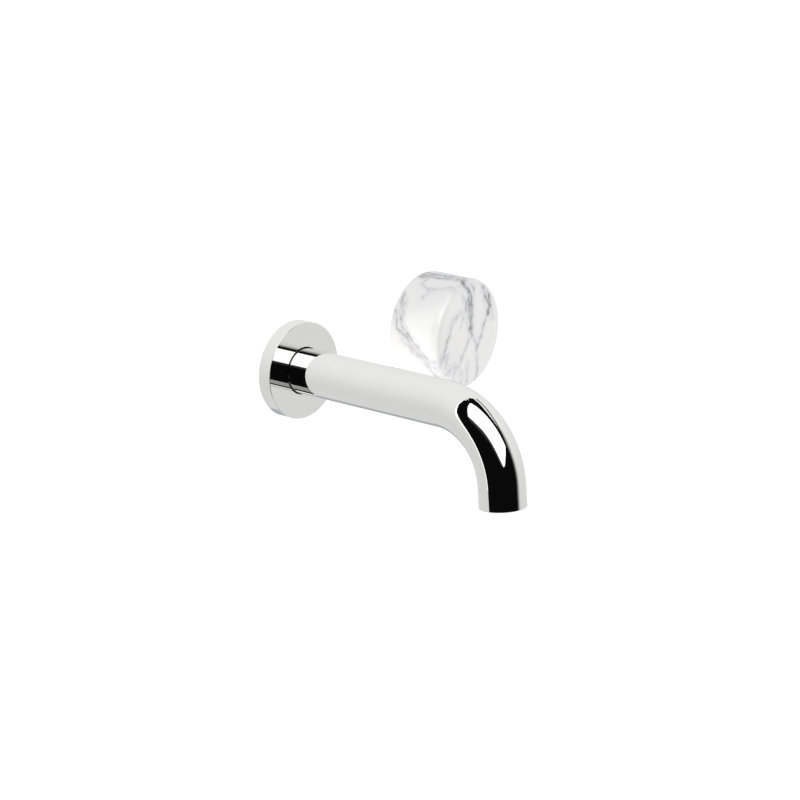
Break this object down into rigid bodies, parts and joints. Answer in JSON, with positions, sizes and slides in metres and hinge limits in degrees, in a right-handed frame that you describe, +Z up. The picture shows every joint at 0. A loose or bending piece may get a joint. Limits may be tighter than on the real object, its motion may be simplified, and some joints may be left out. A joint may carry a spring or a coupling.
{
  "type": "wall mounted bath faucet",
  "caption": "Round bent spout on a round cover flange, beside a separate round stone control knob that turns to open the water.",
  "frame": {"origin": "centre of the spout flange's back face, on the finished wall", "axes": "+Y into the wall, +X to the user's right towards the knob, +Z up"},
  "size_m": [0.1888, 0.1976, 0.0953],
  "materials": {
    "chrome": "polished",
    "marble": "polished",
    "brass": "machined",
    "steel": "plain",
    "rubber": "matte",
    "white_plastic": "matte",
    "grey_plastic": "matte",
    "alumina": "lapped"
  },
  "bodies": {
    "wall_parts": {"spout_flange": "chrome", "spout_tube": "chrome", "aerator_housing": "chrome", "wall_nipple": "brass", "inlet_sleeve": "brass", "mixer_body": "brass", "cartridge_nut": "brass", "spout_grub_screw": "steel", "fixing_screws": "steel", "aerator_mesh": "steel", "flange_gasket": "rubber", "flange_o_ring": "rubber", "nipple_o_rings": "rubber", "plate_gasket": "rubber", "cartridge_o_ring": "rubber", "base_seal": "rubber", "aerator_seal": "rubber", "cartridge_housing": "white_plastic", "stop_ring": "white_plastic", "glide_ring": "white_plastic", "aerator_insert": "grey_plastic", "fixed_disc": "alumina"},
    "knob": {"marble_knob": "marble", "knob_hub": "brass", "hub_grub_screw": "steel", "spindle": "brass", "spindle_o_ring": "rubber", "disc_carrier": "white_plastic", "moving_disc": "alumina"}
  },
  "joints": [
    {"name": "knob_turn", "type": "hinge", "parent": "wall_parts", "child": "knob", "pos_m": [0.1228, 0, 0.0048], "axis": [0, -1, 0], "range_deg": [0, 110]}
  ]
}
